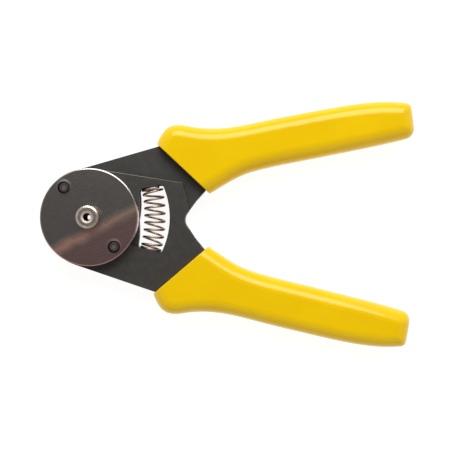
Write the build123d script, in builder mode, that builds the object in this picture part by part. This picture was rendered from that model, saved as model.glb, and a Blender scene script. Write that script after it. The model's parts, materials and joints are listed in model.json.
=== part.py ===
from build123d import *
import os
from math import asin, cos, hypot, pi, radians, sin, sqrt, tan

# Hand crimping tool with a round four-indent head and two vinyl-gripped handles.
#
# The tool lies on its back on the plane z = 0. The origin is on the pivot axis, which is also the
# axis of the contact bore. +X runs down the middle between the handles, +Y points to the upper
# handle and +Z points out of the front of the head. All lengths are in millimetres.
#
# The lower handle carries two side plates, front and rear. The upper handle is one thicker cam
# plate that turns between them on the drum of the indenter guide. Cams in its bore push four
# indenters inwards as the handles close, and a wire ring pushes them back out.

# ---- Thicknesses, from the mid-plane of the tool outwards ----
CAM_T = 4.0  # cam plate
CAM_PLAY = 0.1  # gap between the cam plate and each side plate
SIDE_T = 2.5  # each side plate
FRONT_DISC_T = 5.2  # thick enough for the rivet wells
REAR_DISC_T = 3.0
SIDE_IN = CAM_T / 2 + CAM_PLAY  # inner face of a side plate
SIDE_OUT = SIDE_IN + SIDE_T  # outer face of a side plate
MID = SIDE_OUT + REAR_DISC_T  # height of the mid-plane above the rear face
FACE = SIDE_OUT + FRONT_DISC_T  # front face of the head
FIT = 0.05  # radial clearance of a fitted round part

# ---- Head ----
DISC_R = 21.35
REAR_DISC_R = 20.0  # stays clear of the spring windows
DISC_BEVEL = 0.45  # across the face
DISC_BEVEL_H = 0.2
RIVET_RING_R = 16.95  # the two head rivets stand this far from the pivot
RIVET_ANGLES = (131.5, -48.5)
CLOSE_DEG = 24.0  # how far the handles close
STOP_DEG = 0.5  # the stop slots are this much longer at each end

# ---- Plate outline, for the handle on the +Y side ----
OUTER_EDGE_DEG = 17.5  # slope of the outer edge, which runs off the head tangentially
OUTER_EDGE_DIST = 22.2  # its distance from the pivot
REAR_EDGE_DEG = 7.6  # slope of the edge that overlaps the other handle
REAR_EDGE_DIST = 21.5
SWEEP_R = 43.4  # the overlapping ear ends in an arc about the pivot
EAR_CORNER_R = 0.8
PLATE_BEVEL = 0.2
NOTCH_X = 40.46  # virtual apex of the V notch between the handles
NOTCH_DEG = 55.0  # half angle of the notch
NOTCH_R = 4.9
NOTCH_END_X = 46.4  # the straight part of the notch's side ends here, and it flares into the grip
MOUTH_DIST = 43.7  # distance of the grip's mouth line from the pivot
MOUTH_DEG = 48.1  # direction of the mouth line's normal
STACK_INSET = 1.7  # the hidden fillers start this far inside the mouth
TANG_OUTER = [(38.0, 35.25), (50.0, 36.1), (62.0, 37.5), (80.0, 41.2), (105.0, 46.6), (128.0, 50.0)]
TANG_TIP = (133.6, 46.1)
TANG_INNER = [
    (129.3, 40.8), (111.3, 36.6), (93.3, 32.6), (75.3, 28.4), (66.0, 25.2), (57.6, 20.4), (49.6, 12.2),
]
TANG_RIVETS = [(62.0, 29.5), (90.0, 37.5), (118.0, 43.2)]
TANG_RIVET_R = 1.75

# ---- Spring window and spring ----
WINDOW_R = 34.9  # outer edge, an arc about the pivot
WINDOW_BACK = (-17.4, -5.9)  # centre of the arc of the inner edge
WINDOW_BACK_R = 38.7
WINDOW_SLACK = 0.35  # the end that the spring doesn't bear on lies this much further out
WINDOW_CORNER_R = 1.7
SEAT_X, SEAT_Y = 26.35, 14.0  # middle of the end that the spring bears on
SPRING_MID_X = 27.95  # the spring bows outwards to here
SPRING_OD = 9.7
WIRE_D = 1.0
ACTIVE_TURNS = 7.4
CLOSED_TURNS = 1.0  # at each end
CLOSED_PITCH = 1.1
START_TURN = -0.52  # where round the coil the lower end starts
COIL_LEAN = 0.4  # the inner side of the middle turns stands this much further up
POINTS_PER_TURN = 8

# ---- Guide, indenters and cams ----
DRUM_R = 10.5
DRUM_HALF = 2.05  # half height of the drum, a little more than an indenter's
BOSS_R = 9.0
BOSS_FLAT = 7.8  # half distance across the flats that stop the guide turning
GUIDE_BORE_R = 4.5
INDENTER_W = 4.0  # width and height of an indenter
SLIDE_FIT = 0.04
INDENTER_ANGLES = (45, 135, 225, 315)
HEEL_R = INDENTER_W / 2
HEEL_AT = 10.35  # centre of the round heel at rest
TIP_AT = 1.75  # tip at rest
SHOULDER_AT = 5.0  # the indenter tapers from here to its tip
STROKE = 1.1
TIP_W = 1.1
TIP_H = 1.6
CAM_GAP = 0.03
RING_R = 9.6  # wire return ring
RING_WIRE_R = 0.35
RING_Z = 1.62  # above the mid-plane
GROOVE_IN, GROOVE_OUT, GROOVE_FLOOR = 8.0, 10.0, 1.2

# ---- Head rivets ----
SHOULDER_R = 2.3
SHANK_R = 2.0
RIVET_WELL_R = 2.65  # the heads lie in wells in the front disc
RIVET_WELL_H = 1.5
RIVET_HEAD_R = 2.57
RIVET_HEAD_H = 1.2
RIVET_ROUND = 0.9
RIVET_DISH_R = 1.2
RIVET_DISH_H = 0.2
RIVET_CSK_R = 2.6
RIVET_CSK_H = 0.6

# ---- Bushings ----
BUSHING_R = 4.9
BUSHING_TOP = 14.2  # above the mid-plane
BUSHING_RIM_R = 4.2
BUSHING_DISH = 0.2
BUSHING_EDGE = 0.6  # across the rim
BUSHING_EDGE_H = 0.25
BUSHING_BORE_R = 1.65
BUSHING_LEAD_R = 2.6
BUSHING_LEAD_H = 0.22
BUSHING_FOOT = 3.5  # lower end of the bore, above the mid-plane
BUSHING_FLANGE_R = 6.3
FLANGE_T = 1.0
ENTRY_R = 3.75  # rear entry bore
ENTRY_OD_R = 6.0
ENTRY_FLANGE_R = 7.0
ENTRY_FOOT = 3.4  # inner end of the rear bushing, below the mid-plane
ENTRY_LEAD = 0.8
SPIGOT_R = GUIDE_BORE_R - FIT

# ---- Grips ----
GRIP_T = 2 * MID
GRIP_EDGE_R = 6.3
GRIP_LIP_R = 0.5
GRIP_MOUTH = (-1.4, 31.0)  # ends of the mouth line, measured along it from its foot
GRIP_OUTER = [
    (29.7, 37.0), (33.1, 41.1), (36.9, 42.3), (43.9, 41.6), (52.9, 41.05), (62.8, 42.1),
    (76.3, 45.1), (94.3, 49.05), (112.3, 52.7), (130.3, 54.8), (141.2, 54.2),
]
GRIP_TIP = (142.45, 46.9)
GRIP_INNER = [
    (143.3, 39.4), (130.3, 35.95), (112.3, 31.75), (94.3, 27.75), (76.3, 23.6), (67.3, 20.65),
    (58.3, 15.6),
]
GRIP_TIP_OUTER_R = 2.5
GRIP_TIP_INNER_R = 4.5


def polar(radius, angle):
    """Point at that distance and direction, in degrees, from the pivot."""
    return (radius * cos(radians(angle)), radius * sin(radians(angle)))


def mouth_point(along, inside=0.0):
    """Point on the mouth line, or on a parallel to it further inside the grip."""
    normal = polar(1.0, MOUTH_DEG)
    reach = MOUTH_DIST + inside
    return (reach * normal[0] + along * normal[1], reach * normal[1] - along * normal[0])


# ---- Flat profiles, drawn for the handle on the +Y side ----


def on_circle(start, slope, radius):
    """Where the line through start, with that slope, meets a circle about the pivot, at +X."""
    level = start[1] - slope * start[0]
    half = slope * level / (1 + slope**2)
    x = -half + sqrt(half**2 - (level**2 - radius**2) / (1 + slope**2))
    return (x, level + slope * x)


def plate_profile():
    """Outline of a handle plate: round head, overlapping ear, notch and tang."""
    outer_start = polar(OUTER_EDGE_DIST, 90 + OUTER_EDGE_DEG)
    rear_start = polar(REAR_EDGE_DIST, REAR_EDGE_DEG - 90)
    head_back = (-(OUTER_EDGE_DIST + REAR_EDGE_DIST) / 2, 0)
    ear = on_circle(rear_start, tan(radians(REAR_EDGE_DEG)), SWEEP_R)
    steep = tan(radians(NOTCH_DEG))
    lip = on_circle((NOTCH_X, 0), -steep, SWEEP_R)
    run = NOTCH_R / steep
    turn = (NOTCH_X + run * cos(radians(NOTCH_DEG)), run * sin(radians(NOTCH_DEG)))
    apex = (NOTCH_X + NOTCH_R * (1 / sin(radians(NOTCH_DEG)) - 1), 0)
    entry = (NOTCH_END_X, steep * (NOTCH_END_X - NOTCH_X))
    with BuildSketch() as sketch:
        with BuildLine():
            Line(outer_start, TANG_OUTER[0])
            Spline(*TANG_OUTER)
            ThreePointArc(TANG_OUTER[-1], TANG_TIP, TANG_INNER[0])
            Spline(*TANG_INNER, entry)
            Line(entry, turn)
            ThreePointArc(turn, apex, (turn[0], -turn[1]))
            Line((turn[0], -turn[1]), lip)
            ThreePointArc(lip, polar(SWEEP_R, -15), ear)
            Line(ear, rear_start)
            ThreePointArc(rear_start, head_back, outer_start)
        make_face()
        fillet(sketch.vertices().sort_by_distance(ear)[0], EAR_CORNER_R)
    return sketch.sketch


def spring_arc():
    """Radius of the arc that the spring's axis follows, and half its angle in radians."""
    bow = SPRING_MID_X - SEAT_X
    radius = (SEAT_Y**2 + bow**2) / (2 * bow)
    return radius, asin(SEAT_Y / radius)


def window_profile():
    """Spring window. The spring bears on its upper end, and the lower end is a little further."""
    slope = tan(spring_arc()[1])
    back_x, back_y = WINDOW_BACK
    corners = []
    for start, lean in (((SEAT_X, SEAT_Y), slope), ((SEAT_X, -SEAT_Y - WINDOW_SLACK), -slope)):
        near = on_circle((start[0] - back_x, start[1] - back_y), lean, WINDOW_BACK_R)
        corners.append((near[0] + back_x, near[1] + back_y))
        corners.append(on_circle(start, lean, WINDOW_R))
    top_in, top_out, end_in, end_out = corners
    with BuildSketch() as sketch:
        with BuildLine():
            Line(top_in, top_out)
            ThreePointArc(top_out, (WINDOW_R, 0), end_out)
            Line(end_out, end_in)
            ThreePointArc(end_in, (back_x + WINDOW_BACK_R, back_y), top_in)
        make_face()
        fillet(sketch.vertices(), WINDOW_CORNER_R)
    return sketch.sketch


def stack_profile():
    """Part of the tang that is filled out to the full thickness, inside the grip."""
    corner = mouth_point(0, STACK_INSET)
    with BuildSketch() as sketch:
        add(plate_profile())
        with Locations(Location((corner[0], corner[1], 0), (0, 0, MOUTH_DEG))):
            Rectangle(150, 200, align=(Align.MIN, Align.CENTER), mode=Mode.INTERSECT)
        with Locations(*TANG_RIVETS):
            Circle(TANG_RIVET_R, mode=Mode.SUBTRACT)
    return sketch.sketch


def boss_profile(gap=0.0):
    """Round boss with two flats."""
    with BuildSketch() as sketch:
        Circle(BOSS_R + gap)
        Rectangle(3 * BOSS_R, 2 * (BOSS_FLAT + gap), mode=Mode.INTERSECT)
    return sketch.sketch


def cam_profile():
    """One cam pocket, at direction 0: the parallel curve of the heel's path in the cam plate."""
    reach = HEEL_R + CAM_GAP
    rate = STROKE / radians(CLOSE_DEG)

    def wall(turned, sideways=0.0):
        """Point of the wall once the plate has turned, swung sideways about the heel's centre."""
        at = HEEL_AT - rate * turned
        size = hypot(at, rate)
        out_x = (at * cos(turned) - rate * sin(turned)) / size
        out_y = (at * sin(turned) + rate * cos(turned)) / size
        c, s = cos(sideways), sin(sideways)
        x = at * cos(turned) + reach * (out_x * c - out_y * s)
        y = at * sin(turned) + reach * (out_x * s + out_y * c)
        return (x, y)

    start, end = radians(-STOP_DEG), radians(CLOSE_DEG + STOP_DEG)
    steps = 6
    ramp = [wall(start + (end - start) * i / steps) for i in range(steps + 1)]
    first, last = wall(start, -pi / 2), wall(end, pi / 2)
    inner_first, inner_last = (first[0] * 0.6, first[1] * 0.6), (last[0] * 0.6, last[1] * 0.6)
    with BuildSketch() as sketch:
        with BuildLine():
            Spline(*ramp)
            ThreePointArc(ramp[-1], wall(end, pi / 4), last)
            Polyline(last, inner_last, inner_first, first)
            ThreePointArc(first, wall(start, -pi / 4), ramp[0])
        make_face()
    return sketch.sketch


def stop_slot(angle):
    """Arc slot that a head rivet's shoulder runs in. Its ends stop the handles."""
    arc = CenterArc((0, 0), RIVET_RING_R, angle - STOP_DEG, CLOSE_DEG + 2 * STOP_DEG)
    with BuildSketch() as sketch:
        SlotArc(arc, 2 * (SHOULDER_R + FIT))
    return sketch.sketch


def grip_profile():
    """Outline of a grip."""
    mouth_out, mouth_in = mouth_point(GRIP_MOUTH[0]), mouth_point(GRIP_MOUTH[1])
    with BuildSketch() as sketch:
        with BuildLine():
            Line(mouth_in, mouth_out)
            Spline(mouth_out, *GRIP_OUTER)
            ThreePointArc(GRIP_OUTER[-1], GRIP_TIP, GRIP_INNER[0])
            Spline(*GRIP_INNER, mouth_in)
        make_face()
        fillet(sketch.vertices().sort_by_distance(GRIP_OUTER[-1])[0], GRIP_TIP_OUTER_R)
        fillet(sketch.vertices().sort_by_distance(GRIP_INNER[0])[0], GRIP_TIP_INNER_R)
    return sketch.sketch


def mirrored(sketch):
    """The same profile for the handle on the -Y side."""
    return sketch.mirror(Plane.XZ)


def level(height):
    """Horizontal plane at that height above the mid-plane."""
    return Plane.XY.offset(MID + height)


UPPER_PLATE = plate_profile()
LOWER_PLATE = mirrored(UPPER_PLATE)
LOWER_WINDOW = mirrored(window_profile())
LOWER_RIVETS = [(x, -y) for x, y in TANG_RIVETS]
HEAD_RIVETS = [polar(RIVET_RING_R, angle) for angle in RIVET_ANGLES]

os.makedirs("parts", exist_ok=True)

# ---- Side plates of the lower handle ----


def side_plate(bottom, bevelled):
    """Side plate from that height up, bevelled round its top or its bottom face."""
    with BuildPart() as plate:
        with BuildSketch(level(bottom)):
            add(LOWER_PLATE)
            add(LOWER_WINDOW, mode=Mode.SUBTRACT)
            add(boss_profile(FIT), mode=Mode.SUBTRACT)
            with Locations(*HEAD_RIVETS):
                Circle(SHANK_R, mode=Mode.SUBTRACT)
            with Locations(*LOWER_RIVETS):
                Circle(TANG_RIVET_R, mode=Mode.SUBTRACT)
        extrude(amount=SIDE_T)
        face = plate.faces().sort_by(Axis.Z)[bevelled]
        chamfer(face.outer_wire().edges(), PLATE_BEVEL)
    return plate


front_plate = side_plate(SIDE_IN, -1)
front_plate.part.label = "front_plate"
export_step(front_plate.part, "parts/front_plate.step")

rear_plate = side_plate(-SIDE_OUT, 0)
rear_plate.part.label = "rear_plate"
export_step(rear_plate.part, "parts/rear_plate.step")

# ---- Cam plate, which is the upper handle ----
with BuildPart() as cam_plate:
    with BuildSketch(level(-CAM_T / 2)):
        add(UPPER_PLATE)
        add(window_profile(), mode=Mode.SUBTRACT)
        Circle(DRUM_R + FIT, mode=Mode.SUBTRACT)
        cam_pocket = cam_profile()
        for angle in INDENTER_ANGLES:
            add(cam_pocket, rotation=angle, mode=Mode.SUBTRACT)
        for angle in RIVET_ANGLES:
            add(stop_slot(angle), mode=Mode.SUBTRACT)
        with Locations(*TANG_RIVETS):
            Circle(TANG_RIVET_R, mode=Mode.SUBTRACT)
    extrude(amount=CAM_T)
cam_plate.part.label = "cam_plate"
export_step(cam_plate.part, "parts/cam_plate.step")

# ---- Fillers that bring both tangs to the same thickness ----
with BuildPart() as lower_spacer:
    with BuildSketch(level(-SIDE_IN)):
        add(mirrored(stack_profile()))
    extrude(amount=2 * SIDE_IN)
lower_spacer.part.label = "lower_spacer"
export_step(lower_spacer.part, "parts/lower_spacer.step")

with BuildPart() as upper_front_filler:
    with BuildSketch(level(CAM_T / 2)):
        add(stack_profile())
    extrude(amount=SIDE_OUT - CAM_T / 2)
upper_front_filler.part.label = "upper_front_filler"
export_step(upper_front_filler.part, "parts/upper_front_filler.step")

with BuildPart() as upper_rear_filler:
    with BuildSketch(level(-SIDE_OUT)):
        add(stack_profile())
    extrude(amount=SIDE_OUT - CAM_T / 2)
upper_rear_filler.part.label = "upper_rear_filler"
export_step(upper_rear_filler.part, "parts/upper_rear_filler.step")

# ---- Tang rivets, flush with the plates ----
with BuildPart() as upper_tang_rivets:
    with BuildSketch(level(-SIDE_OUT)):
        with Locations(*TANG_RIVETS):
            Circle(TANG_RIVET_R)
    extrude(amount=2 * SIDE_OUT)
upper_tang_rivets.part.label = "upper_tang_rivets"
export_step(upper_tang_rivets.part, "parts/upper_tang_rivets.step")

with BuildPart() as lower_tang_rivets:
    with BuildSketch(level(-SIDE_OUT)):
        with Locations(*LOWER_RIVETS):
            Circle(TANG_RIVET_R)
    extrude(amount=2 * SIDE_OUT)
lower_tang_rivets.part.label = "lower_tang_rivets"
export_step(lower_tang_rivets.part, "parts/lower_tang_rivets.step")

# ---- Cover discs ----
with BuildPart() as front_disc:
    with BuildSketch(level(SIDE_OUT)):
        Circle(DISC_R)
        Circle(BUSHING_R + FIT, mode=Mode.SUBTRACT)
        with Locations(*HEAD_RIVETS):
            Circle(SHANK_R, mode=Mode.SUBTRACT)
    extrude(amount=FRONT_DISC_T)
    with BuildSketch(level(SIDE_OUT)):
        Circle(BUSHING_FLANGE_R + FIT)
    extrude(amount=FLANGE_T, mode=Mode.SUBTRACT)
    with BuildSketch(level(FACE)):
        with Locations(*HEAD_RIVETS):
            Circle(RIVET_WELL_R)
    extrude(amount=-RIVET_WELL_H, mode=Mode.SUBTRACT)
    rim = front_disc.faces().sort_by(Axis.Z)[-1].outer_wire().edges()
    chamfer(rim, DISC_BEVEL, DISC_BEVEL_H, reference=front_disc.faces().sort_by(Axis.Z)[-1])
front_disc.part.label = "front_disc"
export_step(front_disc.part, "parts/front_disc.step")

with BuildPart() as rear_disc:
    with BuildSketch(level(-MID)):
        Circle(REAR_DISC_R)
        Circle(ENTRY_OD_R + FIT, mode=Mode.SUBTRACT)
        with Locations(*HEAD_RIVETS):
            Circle(SHANK_R, mode=Mode.SUBTRACT)
    extrude(amount=REAR_DISC_T)
    with BuildSketch(level(-SIDE_OUT)):
        Circle(ENTRY_FLANGE_R + FIT)
    extrude(amount=-FLANGE_T, mode=Mode.SUBTRACT)
    for x, y in HEAD_RIVETS:
        with BuildSketch(Plane.XY.move(Location((x, y, 0)))):
            Circle(RIVET_CSK_R)
        with BuildSketch(Plane.XY.move(Location((x, y, RIVET_CSK_H)))):
            Circle(SHANK_R)
        loft(mode=Mode.SUBTRACT)
    rim = rear_disc.faces().sort_by(Axis.Z)[0].outer_wire().edges()
    chamfer(rim, DISC_BEVEL_H)
rear_disc.part.label = "rear_disc"
export_step(rear_disc.part, "parts/rear_disc.step")


# ---- Head rivets: shouldered, with a dished head in front and a flush end behind ----
def head_rivet(x, y):
    """One head rivet, turned about its own axis."""
    seat = FACE - RIVET_WELL_H
    top = seat + RIVET_HEAD_H
    round_at = RIVET_HEAD_R - RIVET_ROUND
    bulge = RIVET_ROUND * sin(pi / 4)
    with BuildPart() as rivet:
        with BuildSketch(Plane(origin=(x, y, MID), x_dir=(1, 0, 0), z_dir=(0, -1, 0))):
            with BuildLine():
                Polyline(
                    (0, -MID),
                    (RIVET_CSK_R, -MID),
                    (SHANK_R, RIVET_CSK_H - MID),
                    (SHANK_R, -SIDE_IN),
                    (SHOULDER_R, -SIDE_IN),
                    (SHOULDER_R, SIDE_IN),
                    (SHANK_R, SIDE_IN),
                    (SHANK_R, seat),
                    (RIVET_HEAD_R, seat),
                    (RIVET_HEAD_R, top - RIVET_ROUND),
                )
                ThreePointArc(
                    (RIVET_HEAD_R, top - RIVET_ROUND),
                    (round_at + bulge, top - RIVET_ROUND + bulge),
                    (round_at, top),
                )
                Polyline(
                    (round_at, top),
                    (RIVET_DISH_R, top),
                    (RIVET_DISH_R - RIVET_DISH_H, top - RIVET_DISH_H),
                    (0, top - RIVET_DISH_H),
                    (0, -MID),
                )
            make_face()
        revolve(axis=Axis((x, y, 0), (0, 0, 1)))
    return rivet


for side, (x, y) in zip(("upper", "lower"), HEAD_RIVETS):
    rivet = head_rivet(x, y)
    rivet.part.label = f"{side}_head_rivet"
    export_step(rivet.part, f"parts/{side}_head_rivet.step")

# ---- Indenter guide and its cover ----
with BuildPart() as indenter_guide:
    with BuildSketch(level(-SIDE_OUT)):
        add(boss_profile())
        Circle(GUIDE_BORE_R, mode=Mode.SUBTRACT)
    extrude(amount=SIDE_OUT - DRUM_HALF)
    with BuildSketch(level(-DRUM_HALF)):
        Circle(DRUM_R)
        Circle(GUIDE_BORE_R, mode=Mode.SUBTRACT)
        for angle in INDENTER_ANGLES:
            with Locations(Location((0, 0, 0), (0, 0, angle))):
                Rectangle(
                    2 * DRUM_R,
                    INDENTER_W + 2 * SLIDE_FIT,
                    align=(Align.MIN, Align.CENTER),
                    mode=Mode.SUBTRACT,
                )
    extrude(amount=2 * DRUM_HALF)
    with BuildSketch(level(GROOVE_FLOOR)):
        Circle(GROOVE_OUT)
        Circle(GROOVE_IN, mode=Mode.SUBTRACT)
    extrude(amount=INDENTER_W, mode=Mode.SUBTRACT)
indenter_guide.part.label = "indenter_guide"
export_step(indenter_guide.part, "parts/indenter_guide.step")

with BuildPart() as guide_cover:
    with BuildSketch(level(DRUM_HALF)):
        add(boss_profile())
        Circle(GUIDE_BORE_R, mode=Mode.SUBTRACT)
    extrude(amount=SIDE_OUT - DRUM_HALF)
guide_cover.part.label = "guide_cover"
export_step(guide_cover.part, "parts/guide_cover.step")

# ---- Four indenters and the ring that returns them ----
for number, angle in enumerate(INDENTER_ANGLES, start=1):
    along = (cos(radians(angle)), sin(radians(angle)), 0)
    plan = Plane(origin=(0, 0, MID - INDENTER_W / 2), x_dir=along, z_dir=(0, 0, 1))
    side = Plane(origin=(0, 0, MID), x_dir=along, z_dir=(along[1], -along[0], 0))
    with BuildPart() as indenter:
        with BuildSketch(plan):
            with BuildLine():
                Polyline(
                    (HEEL_AT, HEEL_R),
                    (SHOULDER_AT, HEEL_R),
                    (TIP_AT, TIP_W / 2),
                    (TIP_AT, -TIP_W / 2),
                    (SHOULDER_AT, -HEEL_R),
                    (HEEL_AT, -HEEL_R),
                )
                ThreePointArc((HEEL_AT, -HEEL_R), (HEEL_AT + HEEL_R, 0), (HEEL_AT, HEEL_R))
            make_face()
        extrude(amount=INDENTER_W)
        with BuildSketch(side):
            with BuildLine():
                Polyline(
                    (TIP_AT, TIP_H / 2),
                    (SHOULDER_AT, INDENTER_W / 2),
                    (GROOVE_IN, INDENTER_W / 2),
                    (GROOVE_IN, GROOVE_FLOOR),
                    (GROOVE_OUT, GROOVE_FLOOR),
                    (GROOVE_OUT, INDENTER_W / 2),
                    (2 * HEEL_AT, INDENTER_W / 2),
                    (2 * HEEL_AT, -INDENTER_W / 2),
                    (SHOULDER_AT, -INDENTER_W / 2),
                    (TIP_AT, -TIP_H / 2),
                    close=True,
                )
            make_face()
        extrude(amount=INDENTER_W, both=True, mode=Mode.INTERSECT)
    indenter.part.label = f"indenter_{number}"
    export_step(indenter.part, f"parts/indenter_{number}.step")

with BuildPart() as return_ring:
    with BuildSketch(Plane(origin=(0, 0, MID), x_dir=(1, 0, 0), z_dir=(0, -1, 0))):
        with Locations((RING_R, RING_Z)):
            Circle(RING_WIRE_R)
    revolve(axis=Axis.Z, revolution_arc=352)
return_ring.part.label = "indenter_return_ring"
export_step(return_ring.part, "parts/indenter_return_ring.step")

# ---- Bushings ----
with BuildPart() as contact_bushing:
    dish = BUSHING_TOP - BUSHING_DISH
    with BuildSketch(Plane(origin=(0, 0, MID), x_dir=(1, 0, 0), z_dir=(0, -1, 0))):
        with BuildLine():
            Polyline(
                (BUSHING_BORE_R, BUSHING_FOOT),
                (SPIGOT_R, BUSHING_FOOT),
                (SPIGOT_R, SIDE_OUT),
                (BUSHING_FLANGE_R, SIDE_OUT),
                (BUSHING_FLANGE_R, SIDE_OUT + FLANGE_T),
                (BUSHING_R, SIDE_OUT + FLANGE_T),
                (BUSHING_R, BUSHING_TOP - BUSHING_EDGE_H),
                (BUSHING_R - BUSHING_EDGE, BUSHING_TOP),
                (BUSHING_RIM_R, BUSHING_TOP),
                (BUSHING_RIM_R - BUSHING_DISH, dish),
                (BUSHING_LEAD_R, dish),
                (BUSHING_BORE_R, dish - BUSHING_LEAD_H),
                close=True,
            )
        make_face()
    revolve(axis=Axis.Z)
contact_bushing.part.label = "contact_bushing"
export_step(contact_bushing.part, "parts/contact_bushing.step")

with BuildPart() as entry_bushing:
    with BuildSketch(Plane(origin=(0, 0, MID), x_dir=(1, 0, 0), z_dir=(0, -1, 0))):
        with BuildLine():
            Polyline(
                (ENTRY_R, -ENTRY_FOOT),
                (SPIGOT_R, -ENTRY_FOOT),
                (SPIGOT_R, -SIDE_OUT),
                (ENTRY_FLANGE_R, -SIDE_OUT),
                (ENTRY_FLANGE_R, -SIDE_OUT - FLANGE_T),
                (ENTRY_OD_R, -SIDE_OUT - FLANGE_T),
                (ENTRY_OD_R, -MID),
                (ENTRY_R + ENTRY_LEAD, -MID),
                (ENTRY_R, -MID + ENTRY_LEAD),
                close=True,
            )
        make_face()
    revolve(axis=Axis.Z)
entry_bushing.part.label = "entry_bushing"
export_step(entry_bushing.part, "parts/entry_bushing.step")

# ---- Return spring: closed end turns, and an axis that bows outwards ----
with BuildPart() as return_spring:
    bow_r, bow_half = spring_arc()
    coil_r = (SPRING_OD - WIRE_D) / 2
    end_gap = (WIRE_D / 2 + 0.05) / bow_r
    closed_step = CLOSED_PITCH / bow_r
    ends = 2 * (end_gap + CLOSED_TURNS * closed_step)
    active_step = (2 * bow_half - ends) / ACTIVE_TURNS
    turns = ACTIVE_TURNS + 2 * CLOSED_TURNS
    count = round(turns * POINTS_PER_TURN)
    helix = []
    for i in range(count + 1):
        turn = turns * i / count
        start = min(turn / CLOSED_TURNS, 1)
        end = min((turns - turn) / CLOSED_TURNS, 1)
        active = min(max(turn - CLOSED_TURNS, 0), ACTIVE_TURNS)
        closed = CLOSED_TURNS * (start**2 + 1 - end**2)
        bend = end_gap - bow_half + closed * closed_step + active * active_step
        round_at = 2 * pi * (turn + START_TURN)
        bend -= COIL_LEAN / bow_r * cos(round_at) * sin(pi * i / count)
        reach = bow_r + coil_r * cos(round_at)
        helix.append(
            (
                SPRING_MID_X - bow_r + reach * cos(bend),
                reach * sin(bend),
                MID - coil_r * sin(round_at),
            )
        )
    with BuildLine() as wire:
        Spline(*helix)
    with BuildSketch(Plane(origin=wire.line @ 0, z_dir=wire.line % 0)):
        Circle(WIRE_D / 2)
    sweep(is_frenet=True)
return_spring.part.label = "return_spring"
export_step(return_spring.part, "parts/return_spring.step")


# ---- Grips ----
def grip(outline, tang, side):
    """Vinyl grip with a pocket for the tang, on the +Y side or, with side = -1, on the other."""
    mouth_x, mouth_y = mouth_point(sum(GRIP_MOUTH) / 2)
    mouth_y *= side
    with BuildPart() as body:
        with BuildSketch(level(-GRIP_T / 2)):
            add(outline)
        extrude(amount=GRIP_T)
        mouth = body.faces().sort_by_distance((mouth_x, mouth_y, MID))[0].edges()
        flat = body.faces().filter_by(Plane.XY).edges()
        fillet([edge for edge in flat if edge not in mouth], GRIP_EDGE_R)
        lip = body.faces().sort_by_distance((mouth_x, mouth_y, MID))[0].edges()
        fillet(lip, GRIP_LIP_R)
        with BuildSketch(level(-SIDE_OUT)):
            add(tang)
        extrude(amount=2 * SIDE_OUT, mode=Mode.SUBTRACT)
    return body


upper_grip = grip(grip_profile(), UPPER_PLATE, 1)
upper_grip.part.label = "upper_grip"
export_step(upper_grip.part, "parts/upper_grip.step")

lower_grip = grip(mirrored(grip_profile()), LOWER_PLATE, -1)
lower_grip.part.label = "lower_grip"
export_step(lower_grip.part, "parts/lower_grip.step")
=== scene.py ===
import json
import math

import bmesh
import bpy
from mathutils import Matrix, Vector


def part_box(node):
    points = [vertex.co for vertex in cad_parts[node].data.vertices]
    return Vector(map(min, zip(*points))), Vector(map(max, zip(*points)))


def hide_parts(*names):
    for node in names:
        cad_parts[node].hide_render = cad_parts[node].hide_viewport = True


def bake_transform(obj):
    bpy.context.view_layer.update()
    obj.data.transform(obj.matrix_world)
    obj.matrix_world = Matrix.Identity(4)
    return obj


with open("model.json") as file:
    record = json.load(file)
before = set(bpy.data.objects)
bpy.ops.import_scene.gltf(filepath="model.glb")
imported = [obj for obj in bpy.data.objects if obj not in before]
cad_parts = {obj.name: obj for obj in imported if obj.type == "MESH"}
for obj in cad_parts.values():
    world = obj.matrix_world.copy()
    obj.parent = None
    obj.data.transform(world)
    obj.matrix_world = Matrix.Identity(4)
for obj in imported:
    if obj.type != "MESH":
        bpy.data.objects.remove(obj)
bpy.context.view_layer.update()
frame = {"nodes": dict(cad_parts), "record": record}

# Studio view of a round-head crimping tool that lies on its back on a pale floor.
# Everything is in metres, in the CAD frame: the origin is on the pivot axis at floor height,
# +X runs down the middle between the handles and +Z points up at the camera.

MM = 0.001
SPREAD = (0.3, 0.7)  # most of a noise's values lie between these
nodes = frame["nodes"]


def rgb(red, green, blue):
    """Linear colour, with alpha, of an sRGB colour from 0 to 255."""
    linear = []
    for value in (red, green, blue):
        v = value / 255
        linear.append(v / 12.92 if v <= 0.04045 else ((v + 0.055) / 1.055) ** 2.4)
    return (*linear, 1.0)


def darker(colour, share):
    """That share of a linear colour."""
    return (*(share * value for value in colour[:3]), 1.0)


# ---- Sizes taken from the frame ----
plate_low, plate_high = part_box("cam_plate")
MID_Z = (plate_low.z + plate_high.z) / 2


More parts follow.
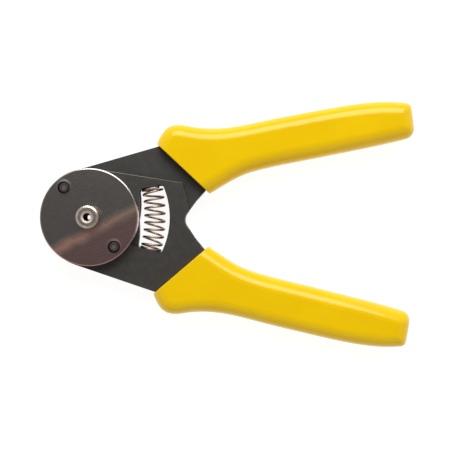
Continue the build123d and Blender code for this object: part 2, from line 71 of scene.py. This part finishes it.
# ------------------------------------------------------------------------------------------------
# Materials
# ------------------------------------------------------------------------------------------------
class Shader:
    """A material, with short calls for the nodes that the finishes below are made of."""

    def __init__(self, name, **sockets):
        self.material = bpy.data.materials.new(name)
        self.material.use_nodes = True
        self.tree = self.material.node_tree
        self.surface = self.tree.nodes["Principled BSDF"]
        for socket, value in sockets.items():
            self.surface.inputs[socket.replace("_", " ")].default_value = value

    def node(self, kind, **values):
        """A node. Values that name a socket are set or linked; the rest are its own settings."""
        made = self.tree.nodes.new(kind)
        for key, value in values.items():
            socket = key.replace("_", " ")
            found = [s for s in made.inputs if s.name == socket]
            if found:
                self.feed(value, found[0])
            else:
                setattr(made, key, value)
        return made

    def math(self, operation, first, second=0.0, clamp=False):
        made = self.tree.nodes.new("ShaderNodeMath")
        made.operation = operation
        made.use_clamp = clamp
        for socket, value in zip(made.inputs, (first, second)):
            self.feed(value, socket)
        return made.outputs[0]

    def feed(self, value, socket):
        """Links an output, or sets a number or colour."""
        if isinstance(value, bpy.types.NodeSocket):
            self.tree.links.new(value, socket)
        else:
            socket.default_value = value

    def place(self):
        """Position on the object, in millimetres."""
        coordinates = self.tree.nodes.new("ShaderNodeTexCoord").outputs["Object"]
        scale = self.node("ShaderNodeVectorMath", operation="SCALE")
        self.tree.links.new(coordinates, scale.inputs[0])
        scale.inputs["Scale"].default_value = 1 / MM
        return scale.outputs["Vector"]

    def noise(self, vector, scale, detail=2.0, roughness=0.5):
        made = self.node("ShaderNodeTexNoise", Vector=vector, Scale=scale, Detail=detail)
        made.inputs["Roughness"].default_value = roughness
        return made.outputs["Fac"]

    def ramp(self, value, low, high, low_to=0.0, high_to=1.0):
        """Value, with low..high carried to low_to..high_to and held beyond them."""
        made = self.node("ShaderNodeMapRange", Value=value, From_Min=low, From_Max=high)
        made.inputs["To Min"].default_value = low_to
        made.inputs["To Max"].default_value = high_to
        return made.outputs["Result"]

    def mix(self, share, first, second):
        made = self.tree.nodes.new("ShaderNodeMix")
        made.data_type = "RGBA"
        self.feed(share, made.inputs["Factor"])
        self.feed(first, made.inputs["A"])
        self.feed(second, made.inputs["B"])
        return made.outputs["Result"]

    def bump(self, height, strength, distance_mm):
        made = self.node("ShaderNodeBump", Height=height, Strength=strength, Distance=distance_mm * MM)
        self.tree.links.new(made.outputs["Normal"], self.surface.inputs["Normal"])

    def split(self, vector):
        """The X, Y and Z outputs of a vector."""
        made = self.tree.nodes.new("ShaderNodeSeparateXYZ")
        self.tree.links.new(vector, made.inputs[0])
        return made.outputs

    def into(self, socket, value):
        self.tree.links.new(value, self.surface.inputs[socket])


def lit_bevel_mask(shader):
    """1 on the plates' bevels, which slope between flat and upright, where they face the softbox on
    the +Y side: the mask of a painted highlight.
    """
    normal = shader.split(shader.node("ShaderNodeNewGeometry").outputs["True Normal"])
    steep = shader.math("ABSOLUTE", normal["Z"])
    off_flat = shader.ramp(steep, 0.85, 0.75)
    off_wall = shader.ramp(steep, 0.25, 0.35)
    bevel = shader.math("MULTIPLY", off_flat, off_wall)
    return shader.math("MULTIPLY", bevel, shader.ramp(normal["Y"], 0.5, 0.6))


def radius_from(shader, place, x=0.0, y=0.0):
    """Distance in millimetres from an upright axis through that point, and the height."""
    point = shader.split(place)
    across = shader.math("SUBTRACT", point["X"], x)
    along = shader.math("SUBTRACT", point["Y"], y)
    square = shader.math("ADD", shader.math("POWER", across, 2.0), shader.math("POWER", along, 2.0))
    return shader.math("SQRT", square), point["Z"]


def stretched(shader, place, turn_deg, scale):
    """The same place, turned about Z, and that scaled as well, for marks that run one way."""
    rotation = (0, 0, math.radians(turn_deg))
    turned = shader.node("ShaderNodeMapping", Vector=place, Rotation=rotation).outputs[0]
    return turned, shader.node("ShaderNodeMapping", Vector=turned, Scale=scale).outputs[0]


def black_oxide():
    """Blackened steel with a faint mottle. The bevels that face the softbox on the +Y side are rubbed
    bare and painted lighter: wear, with a painted highlight on the lit side only.
    """
    s = Shader("black_oxide")
    place = s.place()
    mottle = s.noise(place, 0.35, 4.0, 0.6)
    grain = s.noise(place, 6.0, 3.0, 0.6)
    black = s.mix(s.ramp(mottle, 0.35, 0.65), rgb(50, 47, 44), rgb(58, 54, 50))
    # painted highlight, partly wear: bare, lighter steel only on the bevels that face the light
    wear_and_highlight = s.math("MULTIPLY", lit_bevel_mask(s), s.ramp(grain, 0.3, 0.6, 0.5, 1.0))
    s.into("Base Color", s.mix(wear_and_highlight, black, rgb(168, 158, 148)))
    s.into("Metallic", wear_and_highlight)
    s.into("Roughness", s.ramp(grain, *SPREAD, 0.44, 0.6))
    s.bump(grain, 0.25, 0.02)
    return s.material


def head_rivet_places():
    """Where the two head rivets stand, in millimetres."""
    boxes = [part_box(name) for name in ("upper_head_rivet", "lower_head_rivet")]
    return [(low + high) / 2 / MM for low, high in boxes]


RIVET_SHADE_FADE = (1.9, 0.4)  # radii, in mm, between which a head goes from its painted shade at the edge to its lighter middle


def rivet_steel():
    """Darkened steel heads, lighter in the middle of the dish, with painted shade round the edge where
    the head sits in its well.
    """
    s = Shader("dark_rivet_steel", Metallic=0.5)
    place = s.place()
    grain = s.noise(place, 2.0, 3.0, 0.6)
    middle = 0.0
    for spot in head_rivet_places():
        radius, _ = radius_from(s, place, spot.x, spot.y)
        middle = s.math("ADD", s.ramp(radius, *RIVET_SHADE_FADE), middle)
    # painted shade: the head is darker round its edge, where it sits in its well
    shaded_head_rim = s.mix(s.ramp(grain, *SPREAD), rgb(40, 34, 32), rgb(58, 50, 47))
    s.into("Base Color", s.mix(middle, shaded_head_rim, rgb(104, 98, 93)))
    s.into("Roughness", s.ramp(grain, *SPREAD, 0.45, 0.6))
    s.bump(grain, 0.3, 0.02)
    return s.material


# ---- The disc's finish: places across and along the band of painted reflection, and radii, in millimetres ----
BAND_TURN_DEG = -26.0  # this turn lays the grinding lines and the band along X
BAND_SLANT = 0.04  # the band still rises by this much of its length
BAND_WANDER = (-0.8, 0.8)
REFLECTION_FADE_IN = (-2.6, -6.0)  # the painted reflection sets in between these
VIOLET = (-9.6, -6.4)  # violet up to the first, the band's colour from the second
CORE_LOW, CORE_HIGH = (-8.0, -6.2), (-4.2, -6.0)  # the reddest part fades in and out
CORE_ALONG = (16.0, 4.0)  # and fades along the band
OLIVE_ALONG = (-12.0, 12.0)  # the band turns from warm to olive
WELL_SHADE = (2.72, 2.6)  # radii that the painted shade in a rivet well sets in between
BULGE = (3.7, 2.7)  # radii that the bump rises between, round a rivet
BULGE_MM, LINES_MM = 0.12, 0.0015


def ground_disc():
    """Surface-ground steel. A narrow warm band of painted reflection crosses it, and below that the
    painted reflection is violet.
    """
    s = Shader("ground_steel", Metallic=1.0)
    place = s.place()
    turned, long = stretched(s, place, BAND_TURN_DEG, (0.12, 3.0, 1.0))
    lines = s.noise(long, 2.0, 5.0, 0.65)
    point = s.split(turned)
    along = point["X"]
    wander = s.ramp(s.noise(place, 0.12, 3.0), *SPREAD, *BAND_WANDER)
    across = s.math("ADD", point["Y"], wander)
    across = s.math("SUBTRACT", across, s.math("MULTIPLY", along, BAND_SLANT))

    # painted reflection: a warm band with a red core across the disc, violet below it
    band = s.mix(s.ramp(along, *OLIVE_ALONG), rgb(246, 198, 180), rgb(206, 180, 162))
    core = s.math("MULTIPLY", s.ramp(across, *CORE_LOW), s.ramp(across, *CORE_HIGH))
    core = s.math("MULTIPLY", core, s.ramp(along, *CORE_ALONG, 0.1, 0.55))
    band = s.mix(core, band, rgb(255, 184, 162))
    reflection_share = s.ramp(across, *REFLECTION_FADE_IN)
    low_side = s.mix(s.ramp(across, *VIOLET), rgb(196, 160, 154), band)
    colour = s.mix(reflection_share, rgb(170, 162, 158), low_side)
    shade = s.mix(s.ramp(lines, *SPREAD, 0.0, 0.14), colour, rgb(120, 114, 110))

    well_shade, bulge = 0.0, 0.0
    for middle in head_rivet_places():
        radius, _ = radius_from(s, place, middle.x, middle.y)
        well_shade = s.math("ADD", s.ramp(radius, *WELL_SHADE), well_shade)
        bulge = s.math("ADD", s.ramp(radius, *BULGE), bulge)
    # painted shade: the disc is darker inside each rivet well
    s.into("Base Color", s.mix(well_shade, shade, rgb(70, 66, 63)))
    warmth = s.math("MULTIPLY", reflection_share, s.ramp(across, *VIOLET, 0.0, 0.07))
    s.into("Roughness", s.math("ADD", s.ramp(lines, *SPREAD, 0.2, 0.3), warmth))
    raised = s.math("ADD", s.math("MULTIPLY", lines, LINES_MM), s.math("MULTIPLY", bulge, BULGE_MM))
    s.bump(raised, 1.0, 1.0)
    return s.material


# ---- The bushings' finish, as radii and heights in millimetres ----
BORE_SHADE = (1.8, 1.68)  # the contact bore's wall is painted black from here inwards, as painted shade
REAR_BORE_SHADE = (4.0, 3.9)  # and so is the rear bore's, as painted shade
REAR_BORE_TOP = (MID_Z / MM + 4.0, MID_Z / MM + 3.0)  # up to this height
LEAD_DULL = (2.8, 2.5)  # the cone at the mouth of the contact bore is duller


def turned_steel():
    """Lathe-turned steel: fine concentric tool marks round the pivot axis, and bores painted black as
    painted shade.
    """
    s = Shader("turned_steel", Specular_IOR_Level=0.1)
    place = s.place()
    radius, height = radius_from(s, place)
    rings = s.node("ShaderNodeCombineXYZ", X=radius, Y=height).outputs[0]
    marks = s.noise(rings, 3.0, 4.0, 0.6)
    cloud = s.noise(place, 0.5, 2.0)
    colour = rgb(232, 216, 202)
    steel = s.mix(s.ramp(cloud, *SPREAD, 0.0, 0.6), colour, darker(colour, 0.55))
    rear_bore_shade = s.math("MULTIPLY", s.ramp(radius, *REAR_BORE_SHADE), s.ramp(height, *REAR_BORE_TOP))
    # painted shade: the bores' walls are black, dull and not metallic
    black = s.math("MAXIMUM", s.ramp(radius, *BORE_SHADE), rear_bore_shade)
    s.into("Base Color", s.mix(black, steel, rgb(30, 24, 20)))
    s.into("Metallic", s.math("SUBTRACT", 1.0, black))
    polish = s.math("ADD", s.ramp(marks, *SPREAD, 0.2, 0.36), s.ramp(radius, *LEAD_DULL, 0.0, 0.3))
    s.into("Roughness", s.math("ADD", polish, black, clamp=True))
    s.bump(marks, 0.3, 0.01)
    return s.material


def plain_steel(name, colour, roughness):
    """Plain steel with a fine grain."""
    s = Shader(name, Metallic=1.0)
    grain = s.noise(s.place(), 3.0, 4.0, 0.6)
    s.into("Base Color", s.mix(s.ramp(grain, *SPREAD), darker(colour, 0.5), colour))
    s.into("Roughness", s.ramp(grain, *SPREAD, roughness - 0.08, roughness + 0.1))
    s.bump(grain, 0.2, 0.01)
    return s.material


def yellow_vinyl():
    """Dipped vinyl: deep yellow, glossy, with the slow waviness of a dipped skin."""
    s = Shader("yellow_vinyl", IOR=1.42)
    place = s.place()
    waves = s.noise(place, 0.06, 2.0, 0.4)
    pores = s.noise(place, 5.0, 3.0, 0.6)
    s.into("Base Color", s.mix(s.ramp(waves, *SPREAD), rgb(246, 200, 0), rgb(250, 205, 2)))
    s.into("Roughness", s.ramp(pores, *SPREAD, 0.12, 0.17))
    s.bump(s.math("ADD", waves, s.math("MULTIPLY", pores, 0.004)), 0.3, 0.6)
    return s.material


FINISHES = {
    "black_oxide_steel": black_oxide(),
    "ground_steel": ground_disc(),
    "turned_steel": turned_steel(),
    "dark_rivet_steel": rivet_steel(),
    "plain_steel": plain_steel("plain_steel", rgb(150, 146, 140), 0.35),
    "spring_steel": plain_steel("spring_steel", rgb(205, 182, 164), 0.38),
    "yellow_vinyl": yellow_vinyl(),
}
for part in frame["record"]["subparts"]:
    piece = nodes[part["node"]]
    piece.data.materials.clear()
    piece.data.materials.append(FINISHES[part["material_slot"]])

# ------------------------------------------------------------------------------------------------
# Return spring: a smooth wire in place of the CAD coil
# ------------------------------------------------------------------------------------------------
SEAT_X, SEAT_Y = 26.35, 14.0  # middle of the upper end that the spring bears on
BOW_X = 27.95  # the spring bows outwards to here
COIL_R = 4.35
WIRE_R = 0.5
ACTIVE_TURNS = 7.4
CLOSED_TURNS = 1.0  # at each end
CLOSED_PITCH = 1.1
START_TURN = -0.52  # where round the coil the lower end starts
COIL_LEAN = 0.4  # the inner side of the middle turns stands this much further up
SEAT_GAP = 0.05  # between the wire and each seat
STEPS_PER_TURN = 28
WIRE_SIDES = 12
CAP_TILTS = (30, 60, 80)  # degrees round the wire's rounded ends
CAP_LENGTH = 0.4  # of the wire's radius


def spring_path():
    """Points along the wire, in metres. Its axis is an arc through both seats."""
    bow = BOW_X - SEAT_X
    axis_r = (SEAT_Y**2 + bow**2) / (2 * bow)
    half = math.asin(SEAT_Y / axis_r)
    gap = (WIRE_R + SEAT_GAP) / axis_r
    closed_step = CLOSED_PITCH / axis_r
    active_step = (2 * half - 2 * gap - 2 * CLOSED_TURNS * closed_step) / ACTIVE_TURNS
    turns = ACTIVE_TURNS + 2 * CLOSED_TURNS
    count = round(turns * STEPS_PER_TURN)
    points = []
    for i in range(count + 1):
        turn = turns * i / count
        start = min(turn / CLOSED_TURNS, 1)
        end = min((turns - turn) / CLOSED_TURNS, 1)
        active = min(max(turn - CLOSED_TURNS, 0), ACTIVE_TURNS)
        closed = CLOSED_TURNS * (start**2 + 1 - end**2)
        round_at = 2 * math.pi * (turn + START_TURN)
        bend = gap - half + closed * closed_step + active * active_step
        bend -= COIL_LEAN / axis_r * math.cos(round_at) * math.sin(math.pi * i / count)
        reach = axis_r + COIL_R * math.cos(round_at)
        height = MID_Z / MM - COIL_R * math.sin(round_at)
        out = BOW_X - axis_r + reach * math.cos(bend)
        points.append(Vector((out, reach * math.sin(bend), height)) * MM)
    return points


def wire_mesh(name, points, radius, sides):
    """A round wire along the points, with rounded ends."""
    rings = []
    side = Vector((0, 0, 1))
    for i, here in enumerate(points):
        along = (points[min(i + 1, len(points) - 1)] - points[max(i - 1, 0)]).normalized()
        side = (side - along * side.dot(along)).normalized()
        rings.append((here, along, side, 1.0))
    ends = []
    for (here, along, across, _), sign in ((rings[0], -1), (rings[-1], 1)):
        cap = []
        for tilt in CAP_TILTS:
            out = math.sin(math.radians(tilt)) * radius * CAP_LENGTH
            cap.append((here + along * sign * out, along, across, math.cos(math.radians(tilt))))
        ends.append(cap)
    rings = ends[0][::-1] + rings + ends[1]
    made = bmesh.new()
    loops = []
    for here, along, across, share in rings:
        up = along.cross(across)
        loop = []
        for k in range(sides):
            turn = 2 * math.pi * k / sides
            offset = across * math.cos(turn) + up * math.sin(turn)
            loop.append(made.verts.new(here + offset * radius * share))
        loops.append(loop)
    for first, second in zip(loops, loops[1:]):
        for k in range(sides):
            n = (k + 1) % sides
            made.faces.new((first[k], first[n], second[n], second[k]))
    made.faces.new(loops[0][::-1])
    made.faces.new(loops[-1])
    bmesh.ops.recalc_face_normals(made, faces=made.faces)
    mesh = bpy.data.meshes.new(name)
    made.to_mesh(mesh)
    made.free()
    for face in mesh.polygons:
        face.use_smooth = True
    piece = bpy.data.objects.new(name, mesh)
    bpy.context.scene.collection.objects.link(piece)
    return piece


spring = wire_mesh("return_spring_wire", spring_path(), WIRE_R * MM, WIRE_SIDES)
spring.data.materials.append(FINISHES["spring_steel"])
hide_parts("return_spring")
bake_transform(spring)


# ------------------------------------------------------------------------------------------------
# Stage
# ------------------------------------------------------------------------------------------------
FLOOR_SIZE, FLOOR_DROP = 6.0, 0.0002  # it lies a little under the tool, clear of its face
SOFTBOX_AT, SOFTBOX_AIM = (0.10, 0.84, 0.93), (0.06, 0.0, 0.0)
SOFTBOX_SIZE, SOFTBOX_POWER = (1.10, 0.8), 13.8
SKY_RISE = (0.6, 0.94)  # the sky dims between these heights on the unit sphere
SKY_STRENGTH = (0.55, 0.12)  # below them and above them
CAMERA_X, CAMERA_Y = 59.5, -2.0
CAMERA_HEIGHT = 320.0  # above the middle of the plates
CAMERA_ANGLE, CAMERA_ROLL = 35.1, 1.35  # degrees


def floor():
    """Pale paper, lit from within so that it stays near white under a soft light."""
    bpy.ops.mesh.primitive_plane_add(size=FLOOR_SIZE, location=(0, 0, -FLOOR_DROP))
    made = bpy.context.object
    made.name = "floor"
    s = Shader(
        "floor_paper",
        Roughness=0.9,
        Specular_IOR_Level=0.0,
        Emission_Color=(1.0, 0.985, 0.975, 1),
        Emission_Strength=0.95,
    )
    fibres = s.noise(s.place(), 0.5, 4.0)
    s.into("Base Color", s.mix(fibres, (0.14, 0.14, 0.14, 1.0), (0.17, 0.17, 0.17, 1.0)))
    made.data.materials.append(s.material)


def softbox():
    """One large soft light on the upper handle's side."""
    data = bpy.data.lights.new("softbox", "AREA")
    data.shape = "RECTANGLE"
    data.size, data.size_y = SOFTBOX_SIZE
    data.energy = SOFTBOX_POWER
    lamp = bpy.data.objects.new("softbox", data)
    bpy.context.scene.collection.objects.link(lamp)
    lamp.location = SOFTBOX_AT
    aim = Vector(SOFTBOX_AIM) - Vector(SOFTBOX_AT)
    lamp.rotation_euler = aim.to_track_quat("-Z", "Y").to_euler()


def sky():
    """Soft white light from all round, dim overhead."""
    world = bpy.data.worlds.new("studio")
    bpy.context.scene.world = world
    world.use_nodes = True
    tree = world.node_tree
    direction = tree.nodes.new("ShaderNodeTexCoord").outputs["Generated"]
    split = tree.nodes.new("ShaderNodeSeparateXYZ")
    tree.links.new(direction, split.inputs[0])
    rise = tree.nodes.new("ShaderNodeMapRange")
    for sockets, values in (("From", SKY_RISE), ("To", SKY_STRENGTH)):
        rise.inputs[f"{sockets} Min"].default_value = values[0]
        rise.inputs[f"{sockets} Max"].default_value = values[1]
    tree.links.new(split.outputs["Z"], rise.inputs["Value"])
    back = tree.nodes["Background"]
    back.inputs["Color"].default_value = (1, 1, 1, 1)
    tree.links.new(rise.outputs["Result"], back.inputs["Strength"])


def camera():
    data = bpy.data.cameras.new("camera")
    data.sensor_width = 36.0
    data.angle = math.radians(CAMERA_ANGLE)
    data.clip_start = 0.01
    made = bpy.data.objects.new("camera", data)
    bpy.context.scene.collection.objects.link(made)
    made.location = (CAMERA_X * MM, CAMERA_Y * MM, MID_Z + CAMERA_HEIGHT * MM)
    made.rotation_euler = (0, 0, math.radians(CAMERA_ROLL))
    bpy.context.scene.camera = made


floor()
softbox()
sky()
camera()
bpy.context.scene.view_settings.view_transform = "Standard"
